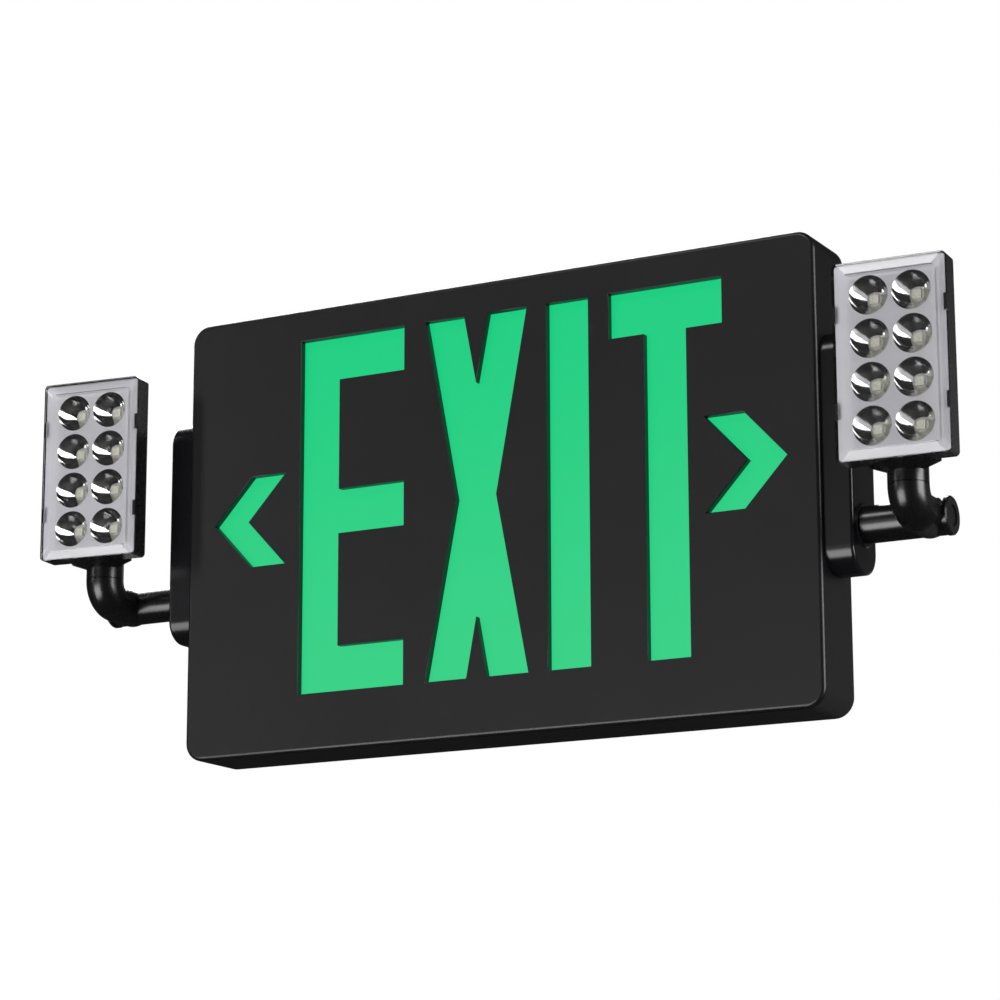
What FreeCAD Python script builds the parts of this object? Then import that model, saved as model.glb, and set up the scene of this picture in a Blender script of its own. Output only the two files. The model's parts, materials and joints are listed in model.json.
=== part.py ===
"""Emergency exit light with two adjustable lamp heads, modelled in millimetres.

The row frame has its origin at the centre of the flat back face that lies on the wall. +X is to
the right of someone facing the sign, +Y points into the wall and +Z is up, so the lit face looks
along -Y.

A moulded housing closed by a back plate holds the lit panel, the light tray, the circuit board
and the battery. A hollow lamp base on each side carries a hooked arm that tilts about X, and a
lamp head that swivels on the arm's neck. Each piece is one STEP file named after its node.
"""
import FreeCAD, Part
import math
import os

os.makedirs("parts", exist_ok=True)

Vector = FreeCAD.Vector
X_AXIS = Vector(1, 0, 0)
Y_AXIS = Vector(0, 1, 0)
Z_AXIS = Vector(0, 0, 1)

# ---------------------------------------------------------------- driving dimensions
# Clearances
seat_gap = 0.3                  # between pieces that lie on each other
running_clearance = 0.05        # radial, between a journal and its bore
screw_clearance = 0.1           # radial, between a screw and the hole that it passes or bites into
overrun = 1.0                   # how far a cut, or the root of a fused form, runs past what it meets
tolerance = 0.001               # for finding edges by their place

# Housing
housing_width = 292.1
housing_height = 190.5
housing_depth = 29.2
housing_corner_radius = 8.0
housing_edge_radius = 1.8
housing_wall = 2.4
face_thickness = 3.2
case_post_radius = 4.2
case_post_web = 1.6
case_post_inset = 5.6           # post axis inside the cavity's two walls
case_hole_floor = 3.0           # post left whole in front of a case screw's hole

# Direction openings in the face
legend_height_offset = 5.2      # centre line of the legend above the housing's centre
chevron_tip = 132.6
chevron_sweep = 18.3
chevron_width = 16.7
chevron_half_height = 19.6

# Lit panel and light tray
panel_thickness = 1.6
panel_margin = 4.0              # panel edge to the cavity's side walls
panel_height_margin = 8.0       # panel edge to the cavity's top and bottom walls
panel_notch = 9.0
tray_notch = 9.5
tray_wall = 1.2
tray_inset = 1.5                # tray wall inside the panel's edge
tray_depth = 6.4
tray_ear_length = 12.0
tray_post_radius = 3.2
tray_post_inset = 3.9
tray_post_reach = 100.0         # tray post axis from the centre, along X
tray_hole_floor = 1.0
strip_length = 236.0
strip_thickness = 1.0
strip_led_count = 10
strip_led_length = 3.5
strip_led_width = 2.8
strip_led_height = 0.8

# Back plate
back_plate_thickness = 2.4
back_plate_gap = 0.3
rim_height = 5.0
rim_wall = 1.6
corner_pad_thickness = 5.0
corner_pad_radius = 5.2
wiring_hole_radius = 11.1
box_hole_spacing = 88.9
box_hole_radius = 2.4
keyhole_spacing = 203.2
keyhole_height = 60.0
keyhole_head_radius = 4.6
keyhole_slot_radius = 2.2
keyhole_drop = 8.0
plate_rib_height = 4.0
plate_rib_wall = 1.6
plate_rib_reach = 25.0
plate_rib_inset = 30.0
room_margin = 1.0

# Screws
screw_radius = 1.25
screw_head_radius = 2.7
screw_head_height = 1.9
screw_crown = 0.45              # share of the head's height that is rounded
screw_bite = 8.0
tray_screw_bite = 4.0
board_screw_bite = 3.0

# Circuit board and what it carries
board_width = 92.0
board_height = 66.0
board_thickness = 1.6
board_centre_x = 74.0
board_centre_z = -12.0
board_hole_inset = 4.0
standoff_height = 2.6
standoff_radius = 3.0
standoff_hole_floor = 0.8
transformer_width = 28.0
transformer_height = 24.0
transformer_depth = 9.0
coil_width = 17.0
coil_clearance = 0.2
core_yoke = 4.0                 # core above and below the coil's window
transformer_offset_x = -22.0    # from the board's centre
transformer_offset_z = 8.0
relay_width = 19.0
relay_height = 15.0
relay_depth = 8.5
relay_edge_radius = 0.8
relay_offset_x = 22.0
relay_offset_z = 16.0
capacitor_radius = 4.0
capacitor_length = 16.0
capacitor_edge_radius = 0.7
capacitor_offset_x = 14.0
capacitor_offset_z = -4.0
terminal_width = 22.0
terminal_height = 9.0
terminal_depth = 8.5
terminal_ways = 4
terminal_inset = 8.0            # block's centre line above the board's lower edge
terminal_screw_radius = 1.6
terminal_screw_depth = 3.0
terminal_screw_rise = 1.0
terminal_entry_height = 3.5

# Battery pack: three round cells side by side in one wrap
cell_radius = 7.1
cell_length = 50.0
cell_count = 3
wrap_web = 0.55                 # half thickness of the wrap between cells, as a share of their radius
battery_centre_x = -74.0
battery_centre_z = -14.0
cradle_wall = 1.8
cradle_height = 9.0
cradle_opening = 0.6            # share of each side that the cradle leaves open

# Test button and charge indicator, on the left side wall
button_rise = 29.25             # axis above the housing's lower edge
button_radius = 3.8
button_proud = 1.4
button_edge_radius = 0.6
button_stroke = 1.2
button_flange_radius = 5.0
button_flange = 1.2
button_stem_radius = 1.5
button_stem_entry = 1.0         # stem inside the switch at rest
switch_width = 9.0
switch_thickness = 5.6
switch_depth = 6.0
switch_bore_floor = 1.0         # free depth beyond the pressed stem
switch_bracket = 1.6
switch_toe_length = 3.0
switch_toe_thickness = 1.4
indicator_drop = 13.0           # below the test button
indicator_radius = 2.5
indicator_proud = 1.2
indicator_dome = 0.9            # share of the proud height that is rounded
indicator_tail = 3.0
indicator_collar = 0.8
indicator_collar_thickness = 1.2
side_feature_depth = 14.2       # in front of the wall, also the lamp base's centre line

# Lamp base
base_projection = 12.0
base_width = 24.0
base_height = 97.0
base_height_offset = 6.2
base_corner_radius = 10.0
base_edge_radius = 1.4
base_wall = 2.2
base_inner_boss = 3.0
base_inner_boss_radius = 9.0
base_collar_radius = 9.0
base_collar_tip_radius = 8.4
base_collar_height = 0.6
base_screw_inset = 15.0
base_screw_rise = 2.0           # lower screw above the base's middle
base_screw_floor = 2.5          # face left whole outside a screw hole
base_screw_tip = 4.0            # screw's tip below the base's face
base_screw_post_radius = 3.6
base_lead_hole_radius = 5.0

# Arm: a barrel along X with a hooked elbow that turns forward and up
tilt_axis_height = -23.0
tube_radius = 7.4
journal_radius = 6.0
lead_bore_radius = 3.2
hook_bore_radius = 3.0
neck_reach = 26.75              # neck axis outside the lamp base's face
neck_forward = 21.3             # neck axis in front of the tilt axis
neck_radius = 8.0
bend_radius = 8.6
barrel_end = 7.6                # barrel end outside the neck axis
barrel_groove_length = 3.4
barrel_groove_radius = 5.7
cap_radius = 7.7
cap_thickness = 2.0
cap_edge = 0.5
cap_dish = 0.55                 # share of the cap's radius that is dished
cap_dish_depth = 0.4
cap_plug_length = 5.0
washer_thickness = 0.8
washer_inset = 0.6              # inside the base's boss
washer_clearance = 0.2
clip_thickness = 1.0
clip_grip = 1.1                 # depth of the groove that a clip sits in
clip_stand = 0.7                # ring outside its journal
clip_mouth = 0.45               # radius of the open side, as a share of the journal's
journal_tail = 1.2
spigot_radius = 5.6

# Lamp head
head_width = 45.4
head_height = 78.0
head_depth = 14.0
head_side_depth = 10.0
head_back_inset = 3.6
head_corner_radius = 1.8
least_corner_radius = 0.4
head_front_reach = 16.8         # front edge ahead of the neck axis
head_centre_height = 31.8
head_wall = 1.6
head_lip = 0.5
lens_edge_thickness = 1.2
lens_clearance = 0.15
lens_border = 4.4
lens_rise = 1.0
lens_skin = 1.2
hook_height = 6.5
hook_spread = 19.0
hook_reach = 1.2
hook_ledge = 0.5                # rim of the lens that the hooks grip
neck_socket_length = 8.0
neck_boss_top = 14.0
gusset_height = 2.4
gusset_reach = 6.5
bowl_columns = 2
bowl_rows = 4
bowl_pitch_x = 17.0
bowl_pitch_z = 17.1
bowl_rim_radius = 7.75
bowl_floor_radius = 2.9
bowl_depth = 7.4
bowl_bend_reach = 0.62          # share of the flare reached at the bend of the bowl's profile
bowl_bend_depth = 0.55          # share of the depth at that bend
cup_rim_wall = 0.5
cup_floor_wall = 2.5
reflector_skin = 0.9
flange_clearance = 0.2          # reflector flange to the shell's lip
led_board_thickness = 1.2
led_size = 3.4
led_height = 1.0
led_post_radius = 2.4
led_post_reach = 12.5
led_screw_radius = 1.0
led_screw_head_radius = 1.8
led_screw_head_height = 1.0
led_screw_bite = 1.4

# How far each head is turned on its neck at rest, in degrees, positive towards the sign's right
head_turn = {"left": 6.7, "right": 3.0}

# ---------------------------------------------------------------- places worked out from them
half_width = housing_width / 2
half_height = housing_height / 2
front_y = -housing_depth
face_back_y = front_y + face_thickness
cavity_half_width = half_width - housing_wall
cavity_half_height = half_height - housing_wall
cavity_corner_radius = housing_corner_radius - housing_wall

panel_front_y = face_back_y + seat_gap
panel_back_y = panel_front_y + panel_thickness
panel_half_width = cavity_half_width - panel_margin
panel_half_height = cavity_half_height - panel_height_margin
tray_front_y = panel_back_y + seat_gap
tray_back_y = tray_front_y + tray_depth
tray_half_width = panel_half_width - tray_inset
tray_half_height = panel_half_height - tray_inset
plate_front_y = -back_plate_thickness
pad_front_y = -corner_pad_thickness
board_back_y = plate_front_y - standoff_height
board_front_y = board_back_y - board_thickness
case_post_x = cavity_half_width - case_post_inset
case_post_z = cavity_half_height - case_post_inset
tray_post_z = cavity_half_height - tray_post_inset

side_y = -side_feature_depth
base_face_x = half_width + base_projection
collar_tip_x = base_face_x + base_collar_height
button_height = button_rise - half_height
neck_x = base_face_x + neck_reach
neck_y = side_y - neck_forward
neck_top_z = tilt_axis_height + bend_radius
bore_end_x = base_face_x - base_wall - base_inner_boss
washer_x = bore_end_x - seat_gap - washer_thickness
clip_x = washer_x - seat_gap - clip_thickness
journal_end_x = clip_x - journal_tail
barrel_end_x = neck_x + barrel_end

head_front_y = neck_y - head_front_reach
head_side_end_y = head_front_y + head_side_depth
head_back_y = head_front_y + head_depth
head_bottom_z = head_centre_height - head_height / 2
shell_front_y = head_front_y + lens_edge_thickness
neck_bottom_z = neck_top_z + seat_gap
shoulder_z = neck_bottom_z + neck_socket_length
reflector_front_y = shell_front_y
ledge_y = reflector_front_y + reflector_skin + lens_clearance
bowl_floor_y = reflector_front_y + bowl_depth
led_board_front_y = bowl_floor_y + seat_gap
led_board_back_y = led_board_front_y + led_board_thickness


# ---------------------------------------------------------------- building blocks
def block(x0, x1, y0, y1, z0, z1):
    """A box between two corners."""
    return Part.makeBox(x1 - x0, y1 - y0, z1 - z0, Vector(x0, y0, z0))


def rod(radius, start, direction, length):
    """A solid cylinder."""
    return Part.makeCylinder(radius, length, Vector(*start), direction)


def ring(outer, inner, start, direction, length):
    """A flat ring or tube."""
    return rod(outer, start, direction, length).cut(rod(inner, start, direction, length))


def prism_y(points, y0, y1):
    """A straight-sided outline in the XZ plane, from y0 to y1."""
    corners = [Vector(x, y0, z) for x, z in points]
    return Part.Face(Part.makePolygon(corners + corners[:1])).extrude(Vector(0, y1 - y0, 0))


def rounded_slab(half_x, half_z, radius, y0, y1, centre_x=0.0, centre_z=0.0):
    """A plate facing Y with four rounded corners."""
    slab = block(centre_x - half_x, centre_x + half_x, y0, y1, centre_z - half_z, centre_z + half_z)
    corners = [e for e in slab.Edges if abs(e.tangentAt(e.FirstParameter).y) > 0.99]
    return slab.makeFillet(radius, corners)


def edges_at_x(shape, x):
    """Every edge that lies in the plane at x."""
    return [e for e in shape.Edges
            if abs(e.BoundBox.XMin - x) < tolerance and abs(e.BoundBox.XMax - x) < tolerance]


def edges_at_y(shape, y):
    """Every edge that lies in the plane at y."""
    return [e for e in shape.Edges
            if abs(e.BoundBox.YMin - y) < tolerance and abs(e.BoundBox.YMax - y) < tolerance]


def fuse_all(shapes):
    """One solid from several that overlap."""
    return shapes[0].multiFuse(shapes[1:]).removeSplitter()


def on_left(shape):
    """The mirror image of a piece made for the right side."""
    return shape.mirror(Vector(0, 0, 0), X_AXIS)


def pan_screw(point, direction, grip, bite=screw_bite):
    """A self-tapping screw whose head sits at point and whose shank runs along direction."""
    head = rod(screw_head_radius, point, direction * -1, screw_head_height)
    top = Vector(*point) - direction * screw_head_height
    crown = [e for e in head.Edges if (e.CenterOfMass - top).Length < tolerance]
    head = head.makeFillet(screw_head_height * screw_crown, crown)
    return head.fuse(rod(screw_radius, point, direction, grip + bite)).removeSplitter()


def corner_points(reach_x, reach_z):
    """Four points, one in each quarter."""
    return [(sx * reach_x, sz * reach_z) for sx in (-1, 1) for sz in (-1, 1)]


# ---------------------------------------------------------------- housing
def chevron_outline(side):
    """The arrow opening that points away from the legend, on the side given as -1 or 1."""
    low = legend_height_offset - chevron_half_height
    high = legend_height_offset + chevron_half_height
    shoulder = chevron_tip - chevron_sweep
    tail = shoulder - chevron_width
    notch = chevron_tip - chevron_width
    points = [(tail, high), (shoulder, high), (chevron_tip, legend_height_offset), (shoulder, low)]
    points += [(tail, low), (notch, legend_height_offset)]
    return [(side * x, z) for x, z in points]


def front_housing():
    """The moulded front: face, four side walls, posts for the case and for the tray."""
    body = rounded_slab(half_width, half_height, housing_corner_radius, front_y, 0)
    body = body.makeFillet(housing_edge_radius, edges_at_y(body, front_y))
    body = body.cut(rounded_slab(cavity_half_width, cavity_half_height, cavity_corner_radius,
                                 face_back_y, overrun))

    posts = []
    for x, z in corner_points(case_post_x, case_post_z):
        length = pad_front_y - seat_gap - face_back_y
        posts.append(rod(case_post_radius, (x, face_back_y - overrun, z), Y_AXIS, length + overrun))
        wall_x = math.copysign(cavity_half_width, x)
        posts.append(block(min(x, wall_x), max(x, wall_x), face_back_y - overrun, face_back_y + length,
                           z - case_post_web / 2, z + case_post_web / 2))
    for x, z in corner_points(tray_post_reach, tray_post_z):
        length = tray_back_y - tray_wall - seat_gap - face_back_y
        posts.append(rod(tray_post_radius, (x, face_back_y - overrun, z), Y_AXIS, length + overrun))
    body = fuse_all([body] + posts)

    span = housing_wall + 2 * overrun
    cuts = []
    for x, z in corner_points(case_post_x, case_post_z):
        cuts.append(rod(screw_radius + screw_clearance, (x, face_back_y + case_hole_floor, z), Y_AXIS,
                        housing_depth))
    for x, z in corner_points(tray_post_reach, tray_post_z):
        cuts.append(rod(screw_radius + screw_clearance, (x, face_back_y + tray_hole_floor, z), Y_AXIS,
                        housing_depth))
    for side in (-1, 1):
        cuts.append(prism_y(chevron_outline(side), front_y - overrun, face_back_y + overrun))
        wall_x = side * (cavity_half_width - overrun)
        outward = X_AXIS * side
        cuts.append(rod(base_lead_hole_radius, (wall_x, side_y, tilt_axis_height), outward, span))
        for z in base_screw_heights():
            cuts.append(rod(screw_radius + screw_clearance, (wall_x, side_y, z), outward, span))
    left_wall = (-half_width - overrun, side_y, button_height)
    cuts.append(rod(button_radius + seat_gap, left_wall, X_AXIS, span))
    lamp_hole = (-half_width - overrun, side_y, button_height - indicator_drop)
    cuts.append(rod(indicator_radius + screw_clearance, lamp_hole, X_AXIS, span))
    return body.cut(cuts)


def back_plate():
    """The closing plate: wall holes, knock-out, stiffening rim, board stand-offs and battery cradle."""
    half_x = cavity_half_width - back_plate_gap
    half_z = cavity_half_height - back_plate_gap
    radius = cavity_corner_radius - back_plate_gap
    plate = rounded_slab(half_x, half_z, radius, plate_front_y, 0)
    rim_y = plate_front_y - rim_height
    rim_inset = 2 * case_post_inset + room_margin
    rim = block(-half_x + rim_inset, half_x - rim_inset, rim_y, plate_front_y, half_z - rim_wall, half_z)
    rim_clear = 2 * tray_post_radius
    gaps = [block(x - rim_clear, x + rim_clear, rim_y - overrun, plate_front_y,
                  half_z - 2 * rim_wall, half_z + overrun)
            for x in (-tray_post_reach, tray_post_reach)]
    rim = rim.cut(gaps)
    lower_rim = rim.mirror(Vector(0, 0, 0), Z_AXIS)
    solids = [plate, rim, lower_rim]
    for x, z in corner_points(case_post_x, case_post_z):
        solids.append(rod(corner_pad_radius, (x, pad_front_y, z), Y_AXIS, corner_pad_thickness))
    for x, z in board_hole_points():
        foot = (x, plate_front_y - standoff_height, z)
        solids.append(rod(standoff_radius, foot, Y_AXIS, standoff_height + overrun))
    ribs = []
    for z in (-plate_rib_reach, plate_rib_reach):
        ribs.append(block(-half_x + plate_rib_inset, half_x - plate_rib_inset,
                          plate_front_y - plate_rib_height, plate_front_y + overrun,
                          z - plate_rib_wall / 2, z + plate_rib_wall / 2))
    solids += [rib.cut([board_room(), battery_room()]) for rib in ribs]
    solids.append(battery_cradle())
    body = fuse_all(solids)
    body = body.common(rounded_slab(half_x, half_z, radius, front_y, 0))

    through = housing_depth + overrun
    cuts = [rod(wiring_hole_radius, (0, front_y, 0), Y_AXIS, through)]
    for x in (-box_hole_spacing / 2, box_hole_spacing / 2):
        cuts.append(rod(box_hole_radius, (x, front_y, 0), Y_AXIS, through))
    for x in (-keyhole_spacing / 2, keyhole_spacing / 2):
        cuts.append(keyhole(x))
    for x, z in corner_points(case_post_x, case_post_z):
        cuts.append(rod(screw_radius + screw_clearance, (x, front_y, z), Y_AXIS, through))
        head_y = -screw_head_height - seat_gap
        cuts.append(rod(screw_head_radius + seat_gap, (x, head_y, z), Y_AXIS, housing_depth))
    for x, z in board_hole_points():
        cuts.append(rod(screw_radius + screw_clearance, (x, front_y, z), Y_AXIS,
                        housing_depth - standoff_hole_floor))
    return body.cut(cuts)


def keyhole(x):
    """A keyhole: a screw's head goes in below, and the plate drops until the shank is at the top."""
    low_z = keyhole_height - keyhole_drop
    start_y = plate_front_y - overrun
    span = back_plate_thickness + 2 * overrun
    head = rod(keyhole_head_radius, (x, start_y, low_z), Y_AXIS, span)
    slot = block(x - keyhole_slot_radius, x + keyhole_slot_radius, start_y, start_y + span,
                 low_z, keyhole_height)
    top = rod(keyhole_slot_radius, (x, start_y, keyhole_height), Y_AXIS, span)
    return fuse_all([head, slot, top])


def board_hole_points():
    """Centres of the circuit board's four screw holes."""
    reach_x = board_width / 2 - board_hole_inset
    reach_z = board_height / 2 - board_hole_inset
    return [(board_centre_x + x, board_centre_z + z) for x, z in corner_points(reach_x, reach_z)]


def board_room():
    """The space behind the circuit board that the plate's ribs leave free."""
    half_x = board_width / 2 + room_margin
    half_z = board_height / 2 + room_margin
    return block(board_centre_x - half_x, board_centre_x + half_x, front_y, 0,
                 board_centre_z - half_z, board_centre_z + half_z)


def battery_room():
    """The space round the battery pack that the plate's ribs leave free."""
    half_x = cell_length / 2 + room_margin
    half_z = battery_half_height() + room_margin
    return block(battery_centre_x - half_x, battery_centre_x + half_x, front_y, 0,
                 battery_centre_z - half_z, battery_centre_z + half_z)


def battery_half_height():
    """Half the height of the stack of cells."""
    return cell_radius * cell_count


def battery_cradle():
    """Four corner walls on the plate that hold the battery pack on all sides."""
    half_x = cell_length / 2 + seat_gap
    half_z = battery_half_height() + seat_gap
    y0 = plate_front_y - cradle_height
    outer = block(-half_x - cradle_wall, half_x + cradle_wall, y0, plate_front_y + overrun,
                  -half_z - cradle_wall, half_z + cradle_wall)
    cut_x = half_x * cradle_opening
    cut_z = half_z * cradle_opening
    cuts = [block(-x, x, y0 - overrun, plate_front_y + 2 * overrun, -z, z)
            for x, z in ((half_x, half_z), (cut_x, 2 * half_z), (2 * half_x, cut_z))]
    walls = outer.cut(cuts)
    walls.translate(Vector(battery_centre_x, 0, battery_centre_z))
    return walls


# ---------------------------------------------------------------- lit panel, tray and light strips
def lit_panel():
    """The translucent panel behind the openings, notched round the corner posts."""
    panel = block(-panel_half_width, panel_half_width, panel_front_y, panel_back_y,
                  -panel_half_height, panel_half_height)
    notch = panel_notch
    cuts = [block(x - notch, x + notch, front_y, 0, z - notch, z + notch)
            for x, z in corner_points(panel_half_width, panel_half_height)]
    return panel.cut(cuts)


def light_tray():
    """The white tray that closes the lit space behind the panel, with ears screwed to the housing."""
    outer = block(-tray_half_width, tray_half_width, tray_front_y, tray_back_y,
                  -tray_half_height, tray_half_height)
    inner = block(-tray_half_width + tray_wall, tray_half_width - tray_wall,
                  tray_front_y - overrun, tray_back_y - tray_wall,
                  -tray_half_height + tray_wall, tray_half_height - tray_wall)
    ear_half = tray_ear_length / 2
    solids = [outer]
    for x, z in corner_points(tray_post_reach, tray_post_z):
        edge = math.copysign(tray_half_height - overrun, z)
        tip = math.copysign(abs(z) + tray_post_radius, z)
        solids.append(block(x - ear_half, x + ear_half, tray_back_y - tray_wall, tray_back_y,
                            min(edge, tip), max(edge, tip)))
    cuts = [inner]
    for x, z in corner_points(tray_half_width, tray_half_height):
        cuts.append(block(x - tray_notch, x + tray_notch, front_y, 0, z - tray_notch, z + tray_notch))
    for x, z in corner_points(tray_post_reach, tray_post_z):
        cuts.append(rod(screw_radius + screw_clearance, (x, front_y, z), Y_AXIS, housing_depth))
    return fuse_all(solids).cut(cuts)


def strip_board(side):
    """The light strip along the tray's top wall, given as 1, or its bottom wall, given as -1."""
    wall_z = tray_half_height - tray_wall - seat_gap
    y0 = tray_front_y + seat_gap
    y1 = tray_back_y - tray_wall - seat_gap
    z0, z1 = sorted((side * wall_z, side * (wall_z - strip_thickness)))
    return block(-strip_length / 2, strip_length / 2, y0, y1, z0, z1)


def strip_leds():
    """The light-emitting diodes on both strips, facing the middle of the tray."""
    board_z = tray_half_height - tray_wall - seat_gap - strip_thickness
    centre_y = (tray_front_y + tray_back_y - tray_wall) / 2
    pitch = strip_length / strip_led_count
    leds = []
    for side in (-1, 1):
        z0, z1 = sorted((side * board_z, side * (board_z - strip_led_height)))
        for i in range(strip_led_count):
            x = (i - (strip_led_count - 1) / 2) * pitch
            leds.append(block(x - strip_led_length / 2, x + strip_led_length / 2,
                              centre_y - strip_led_width / 2, centre_y + strip_led_width / 2, z0, z1))
    return Part.makeCompound(leds)


# ---------------------------------------------------------------- electronics and battery
def circuit_board():
    """The charger and driver board on its four stand-offs."""
    board = block(board_centre_x - board_width / 2, board_centre_x + board_width / 2,
                  board_front_y, board_back_y,
                  board_centre_z - board_height / 2, board_centre_z + board_height / 2)
    holes = [rod(screw_radius + screw_clearance, (x, front_y, z), Y_AXIS, housing_depth)
             for x, z in board_hole_points()]
    return board.cut(holes)


def transformer_place():
    """The transformer's centre on the board."""
    return board_centre_x + transformer_offset_x, board_centre_z + transformer_offset_z


def transformer_core():
    """The laminated frame round the winding."""
    x, z = transformer_place()
    half_z = transformer_height / 2
    core = block(x - transformer_width / 2, x + transformer_width / 2,
                 board_front_y - transformer_depth, board_front_y, z - half_z, z + half_z)
    window_half_z = half_z - core_yoke
    window = block(x - coil_width / 2, x + coil_width / 2, front_y, 0, z - window_half_z, z + window_half_z)
    return core.cut(window)


def transformer_coil():
    """The winding in the frame's window."""
    x, z = transformer_place()
    half_x = coil_width / 2 - coil_clearance
    half_z = transformer_height / 2 - core_yoke - coil_clearance
    return block(x - half_x, x + half_x, board_front_y - transformer_depth, board_front_y,
                 z - half_z, z + half_z)


def relay():
    """The changeover relay."""
    x, z = board_centre_x + relay_offset_x, board_centre_z + relay_offset_z
    case = block(x - relay_width / 2, x + relay_width / 2, board_front_y - relay_depth, board_front_y,
                 z - relay_height / 2, z + relay_height / 2)
    return case.makeFillet(relay_edge_radius, edges_at_y(case, board_front_y - relay_depth))


def charge_capacitor():
    """The capacitor that lies flat on the board."""
    x, z = board_centre_x + capacitor_offset_x, board_centre_z + capacitor_offset_z
    can = rod(capacitor_radius, (x, board_front_y - capacitor_radius, z), X_AXIS, capacitor_length)
    return can.makeFillet(capacitor_edge_radius, can.Edges[0])


def terminal_block():
    """The screw terminal for the supply leads."""
    x, z = board_centre_x, board_centre_z - board_height / 2 + terminal_inset
    pitch = terminal_width / terminal_ways
    y0 = board_front_y - terminal_depth
    body = block(x - terminal_width / 2, x + terminal_width / 2, y0, board_front_y,
                 z - terminal_height / 2, z + terminal_height / 2)
    screw_end = y0 + terminal_screw_depth
    cuts = []
    for i in range(terminal_ways):
        way_x = x + (i - (terminal_ways - 1) / 2) * pitch
        cuts.append(rod(terminal_screw_radius, (way_x, y0 - overrun, z + terminal_screw_rise), Y_AXIS,
                        terminal_screw_depth))
        cuts.append(block(way_x - terminal_screw_radius, way_x + terminal_screw_radius,
                          screw_end, screw_end + terminal_entry_height,
                          z - terminal_height, z - terminal_screw_rise))
    return body.cut(cuts)


def battery_pack():
    """Three round cells side by side under one wrap."""
    centre_y = plate_front_y - seat_gap - cell_radius
    x0 = battery_centre_x - cell_length / 2
    cells = []
    for i in range(cell_count):
        z = battery_centre_z + (i - (cell_count - 1) / 2) * 2 * cell_radius
        cells.append(rod(cell_radius, (x0, centre_y, z), X_AXIS, cell_length))
    web = cell_radius * wrap_web
    reach = (cell_count - 1) * cell_radius
    cells.append(block(x0, x0 + cell_length, centre_y - web, centre_y + web,
                       battery_centre_z - reach, battery_centre_z + reach))
    return fuse_all(cells)


# ---------------------------------------------------------------- test button and indicator
def button_travel_room():
    """From the flange to the switch at rest."""
    return button_stroke + seat_gap


def switch_face_x():
    """The switch's face that the button's stem enters."""
    return -cavity_half_width + seat_gap + button_flange + button_travel_room()


def test_button():
    """A round button with a retaining flange inside the wall and a stem that enters the switch."""
    cap_x = -half_width - button_proud
    flange_x = -cavity_half_width + seat_gap
    cap = rod(button_radius, (cap_x, side_y, button_height), X_AXIS, flange_x - cap_x)
    cap = cap.makeFillet(button_edge_radius, edges_at_x(cap, cap_x))
    flange = rod(button_flange_radius, (flange_x, side_y, button_height), X_AXIS, button_flange)
    stem_length = button_travel_room() + button_stem_entry
    stem = rod(button_stem_radius, (flange_x + button_flange, side_y, button_height), X_AXIS, stem_length)
    return fuse_all([cap, flange, stem])


def test_switch():
    """The momentary switch behind the button, on a bracket that stands on the back plate."""
    face = switch_face_x()
    half = switch_width / 2
    half_y = switch_thickness / 2
    body = block(face, face + switch_depth, side_y - half_y, side_y + half_y,
                 button_height - half, button_height + half)
    back = face + switch_depth
    foot = block(back - switch_bracket, back, side_y, plate_front_y,
                 button_height - half, button_height + half)
    toe = block(face, back + switch_toe_length, plate_front_y - switch_toe_thickness, plate_front_y,
                button_height - half, button_height + half)
    bore_depth = button_stroke + button_stem_entry + switch_bore_floor
    bore = rod(button_stem_radius + seat_gap, (face - overrun, side_y, button_height), X_AXIS,
               bore_depth + overrun)
    return fuse_all([body, foot, toe]).cut(bore)


def charge_indicator():
    """The small round lens that glows while the battery is charged."""
    z = button_height - indicator_drop
    length = housing_wall + indicator_proud + indicator_tail
    start_x = -half_width - indicator_proud
    tip = rod(indicator_radius, (start_x, side_y, z), X_AXIS, length)
    tip = tip.makeFillet(indicator_proud * indicator_dome, edges_at_x(tip, start_x))
    collar = rod(indicator_radius + indicator_collar, (-cavity_half_width, side_y, z), X_AXIS,
                 indicator_collar_thickness)
    return fuse_all([tip, collar])


# ---------------------------------------------------------------- lamp base, made for the right side
def base_screw_heights():
    """Heights of the two screws that hold a lamp base to the housing wall."""
    top = base_height_offset + base_height / 2
    return [top - base_screw_inset, base_height_offset + base_screw_rise]


def base_outline(inset, x0, x1):
    """The base's rounded outline in the YZ plane, drawn in by inset and run from x0 to x1."""
    half_y = base_width / 2 - inset
    half_z = base_height / 2 - inset
    body = block(x0, x1, side_y - half_y, side_y + half_y,
                 base_height_offset - half_z, base_height_offset + half_z)
    corners = [e for e in body.Edges if abs(e.tangentAt(e.FirstParameter).x) > 0.99]
    return body.makeFillet(base_corner_radius - inset, corners)


def lamp_base():
    """The hollow moulding on the housing's side, with the journal bore and two screw posts."""
    body = base_outline(0, half_width, base_face_x)
    body = body.makeFillet(base_edge_radius, edges_at_x(body, base_face_x))
    body = body.cut(base_outline(base_wall, half_width - overrun, base_face_x - base_wall))
    centre = (bore_end_x, side_y, tilt_axis_height)
    solids = [body, rod(base_inner_boss_radius, centre, X_AXIS, base_inner_boss + base_wall / 2)]
    collar = Part.makeCone(base_collar_radius, base_collar_tip_radius, base_collar_height,
                           Vector(base_face_x, side_y, tilt_axis_height), X_AXIS)
    solids.append(collar)
    for z in base_screw_heights():
        post_length = base_projection - base_wall / 2
        solids.append(rod(base_screw_post_radius, (half_width, side_y, z), X_AXIS, post_length))
    cuts = [rod(journal_radius + running_clearance, (half_width, side_y, tilt_axis_height), X_AXIS,
                base_projection + base_collar_height + overrun)]
    for z in base_screw_heights():
        hole_length = base_projection - base_screw_floor + overrun
        cuts.append(rod(screw_radius + screw_clearance, (half_width - overrun, side_y, z), X_AXIS,
                        hole_length))
    return fuse_all(solids).cut(cuts)


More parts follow.
